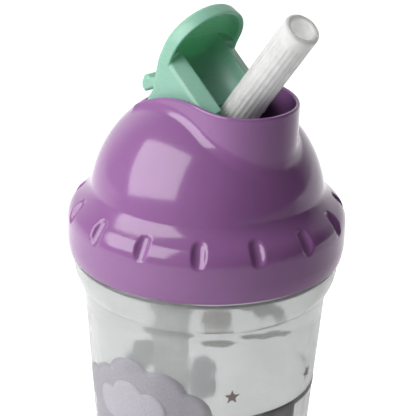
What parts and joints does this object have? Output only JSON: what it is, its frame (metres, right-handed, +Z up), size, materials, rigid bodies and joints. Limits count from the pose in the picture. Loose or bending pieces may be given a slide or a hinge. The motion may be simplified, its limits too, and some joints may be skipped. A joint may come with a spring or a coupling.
{
  "type": "sippy cup",
  "caption": "Flip-straw sippy cup: a clear tapered cup with a screw neck, a domed lid with a flip cover, and a soft straw on a lower tube.",
  "frame": {"origin": "centre of the cup's foot, on the table", "axes": "+Z up along the cup's axis, +X towards the drinker, the way the straw leans; the flip cover's hinge lies along Y"},
  "size_m": [0.078, 0.078, 0.1798],
  "materials": {
    "clear_plastic": "clear polypropylene, glossy outside, faintly cloudy",
    "lid_plastic": "opaque purple polypropylene, high gloss",
    "cover_plastic": "slightly translucent mint green polypropylene, satin to gloss",
    "straw_silicone": "clear silicone with fine lengthwise ribs",
    "tube_plastic": "clear polypropylene tube",
    "seal_silicone": "translucent white silicone, matte"
  },
  "bodies": {
    "cup": {"cup": "clear_plastic"},
    "gasket": {"lid_gasket": "seal_silicone"},
    "lid": {"lid_shell": "lid_plastic", "straw_spout": "straw_silicone", "straw_tube": "tube_plastic", "vent_valve": "seal_silicone"},
    "cover": {"flip_cover": "cover_plastic"}
  },
  "joints": [
    {"name": "lid_turn", "type": "hinge", "parent": "gasket", "child": "lid", "pos_m": [0, 0, 0.104], "axis": [0, 0, 1], "range_deg": [0, 400]},
    {"name": "lid_rise", "type": "slide", "parent": "cup", "child": "gasket", "axis": [0, 0, 1], "range_m": [0, 0.0045]},
    {"name": "cover_flip", "type": "hinge", "parent": "lid", "child": "cover", "pos_m": [-0.004, 0, 0.144], "axis": [0, 1, 0], "range_deg": [0, 68], "deforming": ["straw_spout"]}
  ],
  "couplings": [
    {"joint": "lid_rise", "follows": "lid_turn", "m_per_rad": 0.00063662}
  ]
}
